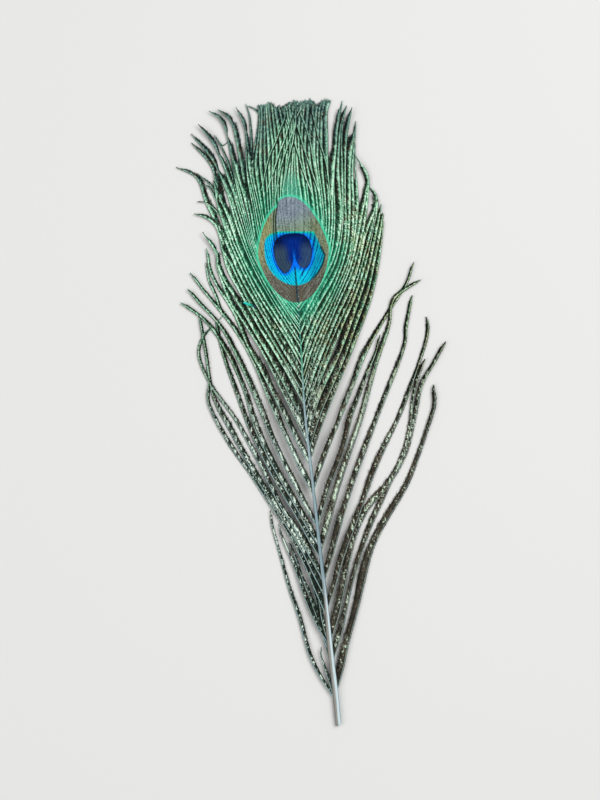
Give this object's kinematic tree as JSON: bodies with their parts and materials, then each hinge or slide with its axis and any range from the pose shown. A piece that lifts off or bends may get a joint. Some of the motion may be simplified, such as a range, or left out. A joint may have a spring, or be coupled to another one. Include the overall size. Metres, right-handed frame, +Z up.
{
  "type": "peacock feather",
  "caption": "Trimmed peacock tail feather with its eye, closed vane and loose lower barbs on a cut, tapering shaft, lying eye side up.",
  "frame": {"origin": "centre of the feather's outline, on the surface that it lies on", "axes": "+Y along the shaft from the cut quill to the trimmed end of the vane, +Z up out of the surface, towards the viewer of the eye side"},
  "size_m": [0.115, 0.277, 0.0061],
  "materials": {
    "feather": "iridescent green and bronze barbs, a pale shaft and a blue and turquoise eye"
  },
  "bodies": {
    "root": {"feather": "feather"}
  },
  "joints": []
}
